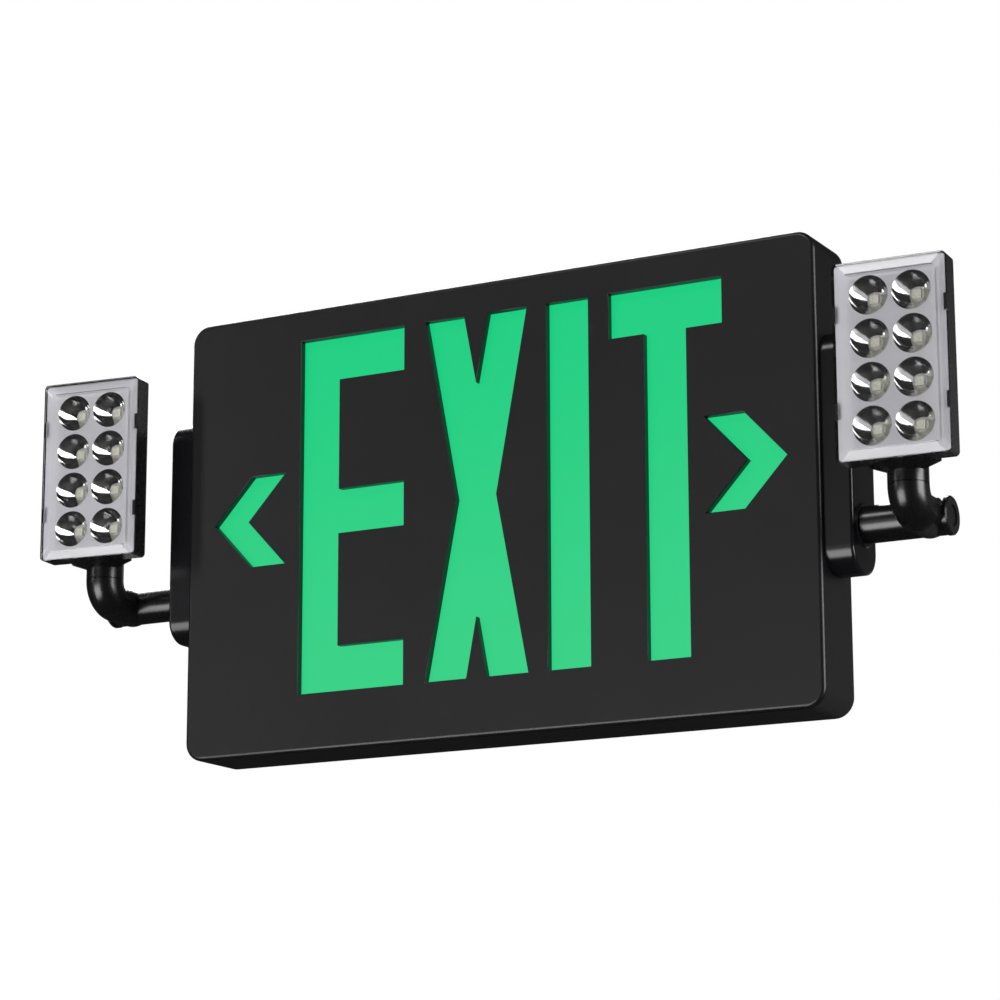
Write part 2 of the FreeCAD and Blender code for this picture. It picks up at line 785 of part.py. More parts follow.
def base_screws():
    """The screws that enter the base's posts from inside the housing."""
    bite = base_projection - base_screw_tip
    return Part.makeCompound([pan_screw((cavity_half_width, side_y, z), X_AXIS, housing_wall, bite)
                              for z in base_screw_heights()])


def friction_washer():
    """The spring washer that gives the tilt its drag."""
    outer = base_inner_boss_radius - washer_inset
    start = (washer_x, side_y, tilt_axis_height)
    return ring(outer, journal_radius + washer_clearance, start, X_AXIS, washer_thickness)


# ---------------------------------------------------------------- arm, made for the right side
def elbow(radius):
    """The hooked end: forward from the barrel's axis, domed behind, then a quarter turn up to the neck."""
    start = Vector(neck_x, side_y, tilt_axis_height)
    turn = Vector(neck_x, neck_y + bend_radius, tilt_axis_height)
    dome = Part.makeSphere(radius, start, Y_AXIS, 0, 90, 360)
    run = Part.makeCylinder(radius, start.y - turn.y, start, Y_AXIS * -1)
    section = Part.Face(Part.Wire(Part.makeCircle(radius, turn, Y_AXIS)))
    quarter = section.revolve(turn + Z_AXIS * bend_radius, X_AXIS, -90)
    return dome.multiFuse([run, quarter])


def arm():
    """Journal, barrel and elbow in one moulding, bored for the lamp's leads."""
    axis = (side_y, tilt_axis_height)
    end_room = 2 * neck_radius
    barrel_start = collar_tip_x + seat_gap
    journal = rod(journal_radius, (journal_end_x, *axis), X_AXIS, barrel_start - journal_end_x + overrun)
    barrel = rod(tube_radius, (barrel_start, *axis), X_AXIS, barrel_end_x - barrel_start)
    groove_start = barrel_end_x - barrel_groove_length
    groove = ring(tube_radius + overrun, barrel_groove_radius, (groove_start, *axis), X_AXIS,
                  barrel_groove_length + overrun)
    upper_half = block(groove_start, barrel_end_x + overrun, side_y - end_room, side_y + end_room,
                       tilt_axis_height, tilt_axis_height + end_room)
    barrel = barrel.cut(groove.common(upper_half))
    hook = elbow(neck_radius)
    hook = hook.cut(block(barrel_end_x, barrel_end_x + end_room, neck_y - end_room, side_y + end_room,
                          tilt_axis_height - end_room, neck_top_z + end_room))
    spigot_top = shoulder_z + seat_gap + clip_thickness + journal_tail
    spigot = rod(spigot_radius, (neck_x, neck_y, neck_top_z - overrun), Z_AXIS,
                 spigot_top - neck_top_z + overrun)
    body = journal.multiFuse([barrel, hook, spigot])

    cuts = [rod(lead_bore_radius, (journal_end_x - overrun, *axis), X_AXIS,
                barrel_end_x - journal_end_x + 2 * overrun)]
    riser = rod(hook_bore_radius, (neck_x, neck_y, neck_top_z), Z_AXIS, spigot_top - neck_top_z + overrun)
    cuts.append(elbow(hook_bore_radius).fuse(riser))
    cuts.append(ring(journal_radius + overrun, journal_radius - clip_grip, (clip_x, *axis), X_AXIS,
                     clip_thickness))
    clip_z = shoulder_z + seat_gap
    cuts.append(ring(spigot_radius + overrun, spigot_radius - clip_grip, (neck_x, neck_y, clip_z), Z_AXIS,
                     clip_thickness))
    return body.cut(cuts)


def open_ring(radius, grip, start, direction, gap_direction):
    """A snap ring that fills its groove, open on one side."""
    full = ring(radius + clip_stand, radius - grip, start, direction, clip_thickness)
    slot = rod(radius * clip_mouth, Vector(*start) + gap_direction * radius, direction, clip_thickness)
    return full.cut(slot)


def journal_clip():
    """The snap ring that keeps the arm in the lamp base."""
    return open_ring(journal_radius, clip_grip, (clip_x, side_y, tilt_axis_height), X_AXIS, Z_AXIS)


def spigot_clip():
    """The snap ring that keeps the lamp head on the arm's neck."""
    return open_ring(spigot_radius, clip_grip, (neck_x, neck_y, shoulder_z + seat_gap), Z_AXIS, Y_AXIS)


def barrel_cap():
    """The plug with a flat flange that closes the barrel's end."""
    axis = (side_y, tilt_axis_height)
    flange = rod(cap_radius, (barrel_end_x, *axis), X_AXIS, cap_thickness)
    cap_face_x = barrel_end_x + cap_thickness
    flange = flange.makeChamfer(cap_edge, edges_at_x(flange, cap_face_x))
    plug = rod(lead_bore_radius - screw_clearance, (barrel_end_x - cap_plug_length, *axis), X_AXIS,
               cap_plug_length + cap_thickness / 2)
    dish = rod(cap_radius * cap_dish, (cap_face_x - cap_dish_depth, *axis), X_AXIS, overrun)
    return fuse_all([flange, plug]).cut(dish)


# ---------------------------------------------------------------- lamp head, made for the right side
def head_outline(half_x, half_z, radius, y0, y1):
    """A rounded plate centred on the head."""
    return rounded_slab(half_x, half_z, radius, y0, y1, neck_x, head_centre_height)


def tapered_slab(half_x, half_z, radius, y0, inset, y1):
    """A rounded plate that narrows by inset from y0 to y1."""
    wires = []
    for y, shrink in ((y0, 0.0), (y1, inset)):
        slab = head_outline(half_x - shrink, half_z - shrink, radius, y, y + overrun)
        face = min(slab.Faces, key=lambda f: f.BoundBox.YMax)
        wires.append(face.OuterWire)
    return Part.makeLoft(wires, True, True)


def head_form(inset, y0):
    """The head's outer form drawn in by inset: a straight front part and a chamfered back."""
    half_x = head_width / 2 - inset
    half_z = head_height / 2 - inset
    radius = max(head_corner_radius - inset, least_corner_radius)
    front = head_outline(half_x, half_z, radius, y0, head_side_end_y)
    back = tapered_slab(half_x, half_z, radius, head_side_end_y, head_back_inset, head_back_y - inset)
    return front.fuse(back).removeSplitter()


def hook_centres():
    """Heights and sides of the four snap hooks round the lens."""
    return [(sx, head_centre_height + sz * hook_spread) for sx in (-1, 1) for sz in (-1, 1)]


def neck_gusset():
    """The shallow skirt that spreads the neck socket under the head."""
    top_radius = neck_radius + gusset_reach
    cone = Part.makeCone(neck_radius, top_radius, gusset_height,
                         Vector(neck_x, neck_y, head_bottom_z - gusset_height), Z_AXIS)
    cap = rod(top_radius, (neck_x, neck_y, head_bottom_z), Z_AXIS, head_wall)
    room = block(neck_x - top_radius, neck_x + top_radius, head_front_y + head_wall, head_back_y,
                 head_bottom_z - gusset_height, head_bottom_z + head_wall)
    return cone.fuse(cap).common(room)


def head_shell():
    """The lamp's housing with the neck socket behind it, the reflector's ledge and four snap hooks."""
    body = head_form(0, shell_front_y)
    socket = rod(neck_radius, (neck_x, neck_y, neck_bottom_z), Z_AXIS, neck_boss_top - neck_bottom_z)
    dome = Part.makeSphere(neck_radius, Vector(neck_x, neck_y, neck_boss_top))
    body = fuse_all([body, socket, dome, neck_gusset()])

    pocket_half_x = head_width / 2 - head_lip
    pocket_half_z = head_height / 2 - head_lip
    cuts = [head_outline(pocket_half_x, pocket_half_z, head_corner_radius - head_lip,
                         shell_front_y - overrun, ledge_y)]
    cuts.append(head_form(head_wall, ledge_y - overrun))
    cuts.append(rod(spigot_radius + running_clearance, (neck_x, neck_y, neck_bottom_z - overrun), Z_AXIS,
                    neck_socket_length + 2 * overrun))
    chamber_radius = neck_radius - head_wall
    cuts.append(rod(chamber_radius, (neck_x, neck_y, shoulder_z), Z_AXIS, neck_boss_top - shoulder_z))
    cuts.append(Part.makeSphere(chamber_radius, Vector(neck_x, neck_y, neck_boss_top)))
    body = body.cut(cuts)

    added = []
    for side, z in hook_centres():
        edge_x = neck_x + side * head_width / 2
        lip_x = edge_x - side * head_lip
        tip_x = edge_x - side * hook_reach
        half_z = hook_height / 2 - lens_clearance
        barb_back_y = shell_front_y - hook_ledge - 2 * lens_clearance
        added.append(block(min(edge_x, tip_x), max(edge_x, tip_x), head_front_y, barb_back_y,
                           z - half_z, z + half_z))
        added.append(block(min(edge_x, lip_x), max(edge_x, lip_x), head_front_y, ledge_y,
                           z - half_z, z + half_z))
    for x, z in led_post_points():
        added.append(rod(led_post_radius, (x, led_board_back_y, z), Y_AXIS,
                         head_back_y - head_wall / 2 - led_board_back_y))
    body = fuse_all([body] + added)
    hole_depth = led_screw_bite + seat_gap
    holes = [rod(led_screw_radius + screw_clearance, (x, led_board_back_y - overrun, z), Y_AXIS,
                 hole_depth + overrun)
             for x, z in led_post_points()]
    return body.cut(holes)


def led_post_points():
    """The two posts on the back wall that carry the lamp board, across from each other."""
    return [(neck_x + side * led_post_reach, head_centre_height - side * bowl_pitch_z) for side in (-1, 1)]


def bowl_centres():
    """Centres of the reflector's bowls in the XZ plane."""
    centres = []
    for column in range(bowl_columns):
        for row in range(bowl_rows):
            x = neck_x + (column - (bowl_columns - 1) / 2) * bowl_pitch_x
            z = head_centre_height + (row - (bowl_rows - 1) / 2) * bowl_pitch_z
            centres.append((x, z))
    return centres


def bowl_solid(x, z):
    """A bowl's form: a profile that flares from floor to rim, turned about the bowl's own axis."""
    axis_front = Vector(x, reflector_front_y, z)
    axis_back = Vector(x, bowl_floor_y, z)
    floor = axis_back + X_AXIS * bowl_floor_radius
    rim = axis_front + X_AXIS * bowl_rim_radius
    bend_reach = bowl_floor_radius + (bowl_rim_radius - bowl_floor_radius) * bowl_bend_reach
    bend = axis_front + X_AXIS * bend_reach + Y_AXIS * bowl_depth * bowl_bend_depth
    edges = [Part.makeLine(axis_back, floor), Part.Arc(floor, bend, rim).toShape(),
             Part.makeLine(rim, axis_front), Part.makeLine(axis_front, axis_back)]
    return Part.Face(Part.Wire(edges)).revolve(axis_front, Y_AXIS, 360)


def reflector():
    """The bright moulding: a flange on the shell's ledge, a skirt, and a bowl for each light source."""
    rim_half_x = head_width / 2 - head_lip - flange_clearance
    rim_half_z = head_height / 2 - head_lip - flange_clearance
    rim_radius = head_corner_radius - head_lip - flange_clearance
    half_x = head_width / 2 - head_wall - seat_gap
    half_z = head_height / 2 - head_wall - seat_gap
    flange_back_y = reflector_front_y + reflector_skin
    skirt_end = led_board_front_y - seat_gap
    flange = head_outline(rim_half_x, rim_half_z, rim_radius, reflector_front_y, flange_back_y)
    skirt = block(neck_x - half_x, neck_x + half_x, reflector_front_y, skirt_end,
                  head_centre_height - half_z, head_centre_height + half_z)
    hollow = block(neck_x - half_x + reflector_skin, neck_x + half_x - reflector_skin,
                   flange_back_y, skirt_end + overrun,
                   head_centre_height - half_z + reflector_skin, head_centre_height + half_z - reflector_skin)
    body = flange.fuse(skirt).cut(hollow)
    cups = []
    for x, z in bowl_centres():
        cups.append(Part.makeCone(bowl_rim_radius + cup_rim_wall, bowl_floor_radius + cup_floor_wall,
                                  bowl_depth, Vector(x, reflector_front_y, z), Y_AXIS))
    body = fuse_all([body] + cups)
    return body.cut([bowl_solid(x, z) for x, z in bowl_centres()])


def lens():
    """The clear cover over the whole front, with a sloped border and a notch for each hook."""
    half_x = head_width / 2
    half_z = head_height / 2
    back_y = shell_front_y - lens_clearance
    edge = head_outline(half_x, half_z, head_corner_radius, head_front_y, back_y)
    crown_y = head_front_y - lens_rise
    crown = tapered_slab(half_x, half_z, head_corner_radius, head_front_y, lens_border, crown_y)
    body = edge.fuse(crown)
    hollow = head_outline(half_x - lens_border, half_z - lens_border, head_corner_radius,
                          crown_y + lens_skin, back_y + overrun)
    cuts = [hollow]
    for side, z in hook_centres():
        edge_x = neck_x + side * (half_x + overrun)
        for depth, end_y in ((hook_reach, back_y - hook_ledge), (head_lip, back_y + overrun)):
            notch_x = neck_x + side * (half_x - depth - lens_clearance)
            cuts.append(block(min(edge_x, notch_x), max(edge_x, notch_x), crown_y - overrun, end_y,
                              z - hook_height / 2, z + hook_height / 2))
    return body.removeSplitter().cut(cuts)


def led_board():
    """The metal-core board behind the reflector."""
    half_x = head_width / 2 - head_wall - head_back_inset
    half_z = head_height / 2 - head_wall - head_back_inset
    board = block(neck_x - half_x, neck_x + half_x, led_board_front_y, led_board_back_y,
                  head_centre_height - half_z, head_centre_height + half_z)
    start_y = led_board_front_y - overrun
    span = led_board_thickness + 2 * overrun
    holes = [rod(led_screw_radius + screw_clearance, (x, start_y, z), Y_AXIS, span)
             for x, z in led_post_points()]
    lead_hole = rod(lead_bore_radius, (neck_x, start_y, head_centre_height), Y_AXIS, span)
    return board.cut(holes + [lead_hole])


def head_leds():
    """One light source at the bottom of each bowl."""
    half = led_size / 2
    top_y = led_board_front_y - led_height
    return Part.makeCompound([block(x - half, x + half, top_y, led_board_front_y, z - half, z + half)
                              for x, z in bowl_centres()])


def led_board_screws():
    """The two small screws that hold the lamp board to the posts."""
    screws = []
    for x, z in led_post_points():
        head = rod(led_screw_head_radius, (x, led_board_front_y - led_screw_head_height, z), Y_AXIS,
                   led_screw_head_height)
        shank = rod(led_screw_radius, (x, led_board_front_y, z), Y_AXIS, led_board_thickness + led_screw_bite)
        screws.append(head.fuse(shank).removeSplitter())
    return Part.makeCompound(screws)


# ---------------------------------------------------------------- fasteners of the case
def case_screws():
    """The four screws that draw the back plate onto the housing's posts."""
    head_y = -screw_head_height - seat_gap
    return Part.makeCompound([pan_screw((x, head_y, z), Y_AXIS * -1, corner_pad_thickness + head_y)
                              for x, z in corner_points(case_post_x, case_post_z)])


def tray_screws():
    """The four screws through the tray's ears."""
    return Part.makeCompound([pan_screw((x, tray_back_y, z), Y_AXIS * -1, tray_wall + seat_gap,
                                        tray_screw_bite)
                              for x, z in corner_points(tray_post_reach, tray_post_z)])


def circuit_board_screws():
    """The four screws that hold the circuit board to its stand-offs."""
    return Part.makeCompound([pan_screw((x, board_front_y, z), Y_AXIS, board_thickness, board_screw_bite)
                              for x, z in board_hole_points()])


# ---------------------------------------------------------------- write every piece
pieces = {
    "front_housing": front_housing(),
    "back_plate": back_plate(),
    "lit_panel": lit_panel(),
    "light_tray": light_tray(),
    "upper_light_strip": strip_board(1),
    "lower_light_strip": strip_board(-1),
    "strip_leds": strip_leds(),
    "circuit_board": circuit_board(),
    "transformer_core": transformer_core(),
    "transformer_coil": transformer_coil(),
    "relay": relay(),
    "charge_capacitor": charge_capacitor(),
    "terminal_block": terminal_block(),
    "battery_pack": battery_pack(),
    "test_button": test_button(),
    "test_switch": test_switch(),
    "charge_indicator": charge_indicator(),
    "case_screws": case_screws(),
    "tray_screws": tray_screws(),
    "circuit_board_screws": circuit_board_screws(),
}

fixed_side_pieces = {
    "lamp_base": lamp_base(),
    "base_screws": base_screws(),
    "friction_washer": friction_washer(),
    "arm": arm(),
    "journal_clip": journal_clip(),
    "spigot_clip": spigot_clip(),
    "barrel_cap": barrel_cap(),
}

head_pieces = {
    "head_shell": head_shell(),
    "reflector": reflector(),
    "lens": lens(),
    "led_board": led_board(),
    "head_leds": head_leds(),
    "led_board_screws": led_board_screws(),
}

for side in ("left", "right"):
    side_x = neck_x if side == "right" else -neck_x
    for name, shape in fixed_side_pieces.items():
        pieces[f"{side}_{name}"] = shape if side == "right" else on_left(shape)
    for name, shape in head_pieces.items():
        placed = shape.copy() if side == "right" else on_left(shape)
        placed.rotate(Vector(side_x, neck_y, 0), Z_AXIS, head_turn[side])
        pieces[f"{side}_{name}"] = placed

for name, shape in pieces.items():
    if not shape.isValid():
        raise ValueError(f"{name} is not a valid shape")
    shape.exportStep(f"parts/{name}.step")
    print(f"{name:26s} solids {len(shape.Solids):2d} volume {shape.Volume:12.2f}")
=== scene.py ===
"""Emergency exit light: legend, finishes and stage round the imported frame."""
import json
import math

import bmesh
import bpy
from bpy.props import FloatProperty, FloatVectorProperty
from mathutils import Matrix, Vector

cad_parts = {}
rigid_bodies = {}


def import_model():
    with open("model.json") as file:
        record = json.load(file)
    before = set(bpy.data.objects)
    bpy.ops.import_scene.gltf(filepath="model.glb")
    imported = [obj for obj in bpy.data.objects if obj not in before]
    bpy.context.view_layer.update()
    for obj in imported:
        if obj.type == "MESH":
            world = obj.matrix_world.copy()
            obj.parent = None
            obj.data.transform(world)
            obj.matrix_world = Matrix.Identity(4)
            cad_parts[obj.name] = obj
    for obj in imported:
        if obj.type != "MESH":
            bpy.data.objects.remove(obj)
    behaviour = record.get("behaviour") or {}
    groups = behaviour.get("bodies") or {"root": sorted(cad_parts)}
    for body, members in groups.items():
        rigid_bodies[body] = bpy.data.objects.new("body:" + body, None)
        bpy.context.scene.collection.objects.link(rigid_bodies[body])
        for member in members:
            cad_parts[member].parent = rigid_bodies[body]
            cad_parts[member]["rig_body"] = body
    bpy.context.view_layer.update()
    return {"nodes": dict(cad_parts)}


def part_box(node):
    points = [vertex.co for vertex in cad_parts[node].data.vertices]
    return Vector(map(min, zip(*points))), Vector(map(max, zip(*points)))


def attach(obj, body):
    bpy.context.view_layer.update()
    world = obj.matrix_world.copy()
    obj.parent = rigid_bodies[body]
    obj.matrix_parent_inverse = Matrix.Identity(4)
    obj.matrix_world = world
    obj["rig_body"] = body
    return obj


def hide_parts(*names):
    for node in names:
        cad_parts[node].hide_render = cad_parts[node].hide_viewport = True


bl_info = {
    "name": "Emergency exit light",
    "version": (1, 0, 0),
    "blender": (4, 5, 0),
    "location": "3D View > Sidebar > Exit Light",
    "description": "Dresses the packed frame of an emergency exit light with two lamp heads",
    "category": "Add Mesh",
}

for spare in list(bpy.data.objects):
    bpy.data.objects.remove(spare)

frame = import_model()

MM = 0.001
WELD_DISTANCE = 1e-6            # metres, also how close a point has to lie to a plane
FLAT_ANGLE = 0.2                # degrees between faces that count as one flat face
CUT_OVERRUN = 1.0 * MM          # how far a letter's cutter stands out of the face
PANEL_GAP = 0.15 * MM           # cutter left clear of the lit panel
CREASE_ANGLE = 28.0             # degrees above which an edge of the housing stays sharp
SIDE_FACING = 0.1               # an opening's side wall has less of its normal than this along Y
FRONT_FACING = 0.99             # the housing's face has more of its normal than this along Y
BOWL_LEAN_X = 0.2               # a bowl's surface leans sideways by more than this,
BOWL_LEAN_Z = 0.02              # or up or down by more than this; the plate between bowls doesn't
DIODE_PITCH = 0.0236            # metres from bright spot to bright spot along the lit panel


def tone(red, green, blue):
    """A display colour from 0 to 255 as the linear colour that shaders take."""
    def linear(level):
        part = level / 255
        return part / 12.92 if part <= 0.04045 else ((part + 0.055) / 1.055) ** 2.4
    return linear(red), linear(green), linear(blue)


# ---------------------------------------------------------------- what a user would change
def length(name, value, description):
    """A length in millimetres as a property in metres."""
    return FloatProperty(name=name, description=description, default=value * MM, unit="LENGTH", precision=5)


def colour(name, value, description):
    """A display colour as a colour property."""
    return FloatVectorProperty(name=name, description=description, default=tone(*value), subtype="COLOR",
                               size=3, min=0.0, max=1.0)


def share(name, value, description):
    """A number between nought and one."""
    return FloatProperty(name=name, description=description, default=value, subtype="FACTOR",
                         min=0.0, max=1.0)


class LegendSettings(bpy.types.PropertyGroup):
    """Sizes of the block letters cut through the housing's face."""
    height: length("Letter height", 152.4, "Height of the letters")
    base: length("Base line", -71.0, "Foot of the letters, from the housing's centre")
    stroke: length("Stroke", 19.05, "Width of a straight stroke")
    first_left: length("First letter", -90.3, "Left edge of the first letter")
    first_width: length("First letter width", 50.5, "Width of the first letter")
    first_middle: length("Middle bar", 5.3, "Centre line of the first letter's middle bar")
    cross_centre: length("Second letter", -5.6, "Centre line of the second letter")
    cross_half: length("Second letter half width", 23.8, "Half the width across the crossed strokes")
    cross_gap_top: length("Upper gap", 5.6, "Half the gap between the crossed strokes at the top")
    cross_gap_foot: length("Lower gap", 4.7, "Half the gap between the crossed strokes at the foot")
    third_left: length("Third letter", 27.3, "Left edge of the upright letter")
    last_left: length("Last letter", 55.6, "Left edge of the last letter's bar")
    last_width: length("Last letter width", 50.2, "Width of the last letter's bar")
    last_stem: length("Last letter stem", 18.6, "Width of the last letter's stem")
    rim: length("Rim", 0.3, "Softened edge round each opening")


class FinishSettings(bpy.types.PropertyGroup):
    """Colours and surfaces of the housing, legend, arms and lamp heads."""
    housing_colour: colour("Housing", (15, 14, 17), "Moulded housing")
    housing_roughness: share("Housing roughness", 0.36, "Satin of the moulded housing")
    arm_colour: colour("Arms", (12, 12, 13), "Arms, necks and lamp shells")
    arm_roughness: share("Arm roughness", 0.27, "Gloss of the arms")
    grain: length("Grain", 0.45, "Size of the moulded grain")
    green_top: colour("Legend at the top", (10, 206, 128), "Lit panel near its top")
    green_foot: colour("Legend at the foot", (50, 209, 133), "Lit panel near its foot")
    silver_colour: colour("Reflector plate", (240, 239, 245), "Bright plate between the bowls")
    base_roughness: share("Lamp base roughness", 0.24, "Gloss of the two lamp bases")
    silver_roughness: share("Reflector plate roughness", 0.48, "Satin of the plate between the bowls")
    bowl_roughness: share("Bowl roughness", 0.07, "Polish of the bowls")


class StageSettings(bpy.types.PropertyGroup):
    """Camera, lights and surroundings."""
    camera_place: FloatVectorProperty(name="Camera", description="Where the camera stands", size=3,
                                      default=(0.61083, -1.14989, -0.29500), subtype="TRANSLATION",
                                      unit="LENGTH")
    camera_turn: FloatVectorProperty(name="Camera turn", description="How the camera is turned", size=3,
                                     default=(1.799320, 0.002590, 0.495714), subtype="EULER", unit="ROTATION")
    lens: FloatProperty(name="Lens", description="Focal length in millimetres", default=115.66, min=1.0)
    reach: FloatProperty(name="Light distance", description="From the sign to each soft light", default=2.2,
                         unit="LENGTH")
    floor_drop: FloatProperty(name="Floor", description="Floor below the sign's centre", default=0.62,
                              unit="LENGTH")
    fill: FloatProperty(name="Fill", description="Strength of the even surroundings", default=0.6, min=0.0)


# ---------------------------------------------------------------- shader arithmetic
class Value:
    """A number socket of a shader tree; arithmetic on it adds Math nodes."""

    def __init__(self, finish, socket):
        self.finish = finish
        self.socket = socket

    def _math(self, operation, *terms):
        node = self.finish.node("ShaderNodeMath", {"operation": operation}, dict(enumerate(terms)))
        return Value(self.finish, node.outputs[0])

    def __add__(self, other):
        return self._math("ADD", self, other)

    def __radd__(self, other):
        return self._math("ADD", other, self)

    def __sub__(self, other):
        return self._math("SUBTRACT", self, other)

    def __rsub__(self, other):
        return self._math("SUBTRACT", other, self)

    def __mul__(self, other):
        return self._math("MULTIPLY", self, other)

    def __rmul__(self, other):
        return self._math("MULTIPLY", other, self)

    def __pow__(self, other):
        return self._math("POWER", self, other)

    def __rpow__(self, other):
        return self._math("POWER", other, self)

    def larger(self, other):
        """The larger of two values."""
        return self._math("MAXIMUM", self, other)

    def sine(self):
        """The sine of an angle in radians."""
        return self._math("SINE", self)

    def between(self, low, high):
        """A soft step from 0 at low to 1 at high."""
        node = self.finish.node("ShaderNodeMapRange", {"interpolation_type": "SMOOTHSTEP"},
                                {"Value": self, "From Min": low, "From Max": high})
        return Value(self.finish, node.outputs["Result"])


class Finish:
    """A procedural material, or the world, while its nodes are laid."""

    def __init__(self, owner):
        self.owner = owner
        owner.use_nodes = True
        self.tree = owner.node_tree
        self.tree.nodes.clear()

    def node(self, kind, settings=None, inputs=None):
        """Adds a node: its settings or a ramp's stops first, then the values or links of its sockets."""
        node = self.tree.nodes.new(kind)
        for key, value in (settings or {}).items():
            if key == "stops":
                ramp = node.color_ramp
                while len(ramp.elements) < len(value):
                    ramp.elements.new(1.0)
                for element, (position, level) in zip(ramp.elements, value):
                    element.position = position
                    element.color = level
            else:
                setattr(node, key, value)
        for key, value in (inputs or {}).items():
            socket = value.socket if isinstance(value, Value) else value
            if isinstance(socket, bpy.types.NodeSocket):
                self.tree.links.new(socket, node.inputs[key])
            else:
                node.inputs[key].default_value = socket
        return node

    def place(self, output="Object"):
        """The surface point in the piece's own coordinates, or another output of the coordinates node."""
        return self.node("ShaderNodeTexCoord").outputs[output]

    def axes(self, vector):
        """The three parts of a vector as values."""
        parts = self.node("ShaderNodeSeparateXYZ", inputs={0: vector})
        return [Value(self, parts.outputs[i]) for i in range(3)]

    def scaled(self, vector, factors):
        """A vector with each part multiplied, for grain that is drawn out one way."""
        node = self.node("ShaderNodeVectorMath", {"operation": "MULTIPLY"}, {0: vector, 1: factors})
        return node.outputs[0]

    def noise(self, size, detail=2.0, rough=0.5, at=None):
        """Soft random variation whose features are size metres across."""
        vector = self.place() if at is None else at
        node = self.node("ShaderNodeTexNoise",
                         inputs={"Vector": vector, "Scale": 1.0 / size, "Detail": detail, "Roughness": rough})
        return Value(self, node.outputs[0])

    def mix(self, factor, first, second):
        """A colour between two colours, which are the node's sockets 6 and 7."""
        def four(level):
            return level if isinstance(level, bpy.types.NodeSocket) else (*tuple(level)[:3], 1.0)
        node = self.node("ShaderNodeMix", {"data_type": "RGBA"}, {0: factor, 6: four(first), 7: four(second)})
        return node.outputs[2]

    def bump(self, height, strength, distance):
        """A surface normal raised by height."""
        inputs = {"Height": height, "Strength": strength, "Distance": distance}
        return self.node("ShaderNodeBump", inputs=inputs).outputs[0]

    def principled(self, **inputs):
        """The standard surface shader; socket names are written with underscores."""
        named = {key.replace("_", " "): value for key, value in inputs.items()}
        for key, value in named.items():
            if "Color" in key and not isinstance(value, bpy.types.NodeSocket):
                named[key] = (*tuple(value)[:3], 1.0)
        return self.node("ShaderNodeBsdfPrincipled", inputs=named).outputs[0]

    def blend(self, factor, first, second):
        """One shader going over into another."""
        return self.node("ShaderNodeMixShader", inputs={0: factor, 1: first, 2: second}).outputs[0]

    def done(self, surface):
        """Joins the surface to the output."""
        in_world = isinstance(self.owner, bpy.types.World)
        self.node("ShaderNodeOutputWorld" if in_world else "ShaderNodeOutputMaterial", inputs={0: surface})
        return self.owner


def new_finish(name):
    """A new material, ready for its nodes."""
    return Finish(bpy.data.materials.new(name))


# ---------------------------------------------------------------- finishes
def moulded_plastic(name, base, roughness, grain, depth):
    """Injection-moulded plastic: fine grain, slow changes of gloss and a few rubbed spots."""
    haze = 0.05
    finish = new_finish(name)
    fine = finish.noise(grain, 3.0, 0.6)
    slow = finish.noise(0.045, 3.0, 0.55)
    rub = finish.noise(0.012, 5.0, 0.7).between(0.62, 0.8)
    lighter = [min(1.0, level * 1.6 + 0.006) for level in base]
    shade = finish.mix(slow.between(0.3, 0.7), base, [level * 0.86 for level in base])
    shade = finish.mix(rub * 0.35, shade, lighter)
    gloss = roughness + (slow - 0.5) * haze * 2 + rub * haze
    normal = finish.bump(fine, 0.35, depth)
    return finish.done(finish.principled(Base_Color=shade, Roughness=gloss, Normal=normal, IOR=1.5))


def glossy_plastic(name, base, roughness):
    """Polished moulded plastic with the faintest ripple and handling marks."""
    finish = new_finish(name)
    ripple = finish.noise(0.006, 2.0, 0.5)
    marks = finish.noise(0.0022, 4.0, 0.65).between(0.6, 0.85)
    shade = finish.mix(marks * 0.3, base, [level * 1.8 + 0.004 for level in base])
    gloss = roughness + marks * 0.08 + (ripple - 0.5) * 0.05
    normal = finish.bump(ripple, 0.25, 0.00012)
    return finish.done(finish.principled(Base_Color=shade, Roughness=gloss, Normal=normal, IOR=1.62))


def lit_plastic(name, top, foot, low, high, dark):
    """Translucent panel lit from behind: a slow change from top to foot and a faint unevenness."""
    finish = new_finish(name)
    x, _, z = finish.axes(finish.place())
    rise = z.between(low, high)
    glow = finish.mix(rise, foot, top)
    cloud = finish.noise(0.05, 2.0, 0.5)
    near_strips = rise * 4 * (1 - rise) * -1 + 1
    spots = ((x * (2 * math.pi / DIODE_PITCH)).sine() * 0.5 + 0.5) * near_strips
    uneven = (cloud - 0.5) * 0.18 + spots * 0.05
    glow = finish.mix((0.5 + uneven).larger(0.0) * 0.22, glow, [level * 0.72 for level in foot])
    grain = finish.noise(0.0005, 2.0, 0.6)
    normal = finish.bump(grain, 0.2, 0.00004)
    return finish.done(finish.principled(Base_Color=dark, Roughness=0.5 + (grain - 0.5) * 0.1,
                                         Specular_IOR_Level=0.2, Emission_Color=glow, Emission_Strength=1.0,
                                         Normal=normal))


def satin_silver(name, base, roughness):
    """Bright vacuum-coated plastic with a soft satin between the bowls."""
    finish = new_finish(name)
    slow = finish.noise(0.02, 3.0, 0.55)
    fine = finish.noise(0.0003, 2.0, 0.6)
    shade = finish.mix(slow.between(0.3, 0.7), base, [level * 0.93 for level in base])
    normal = finish.bump(fine, 0.12, 0.00003)
    return finish.done(finish.principled(Base_Color=shade, Metallic=0.25,
                                         Roughness=roughness + (slow - 0.5) * 0.1, Normal=normal))


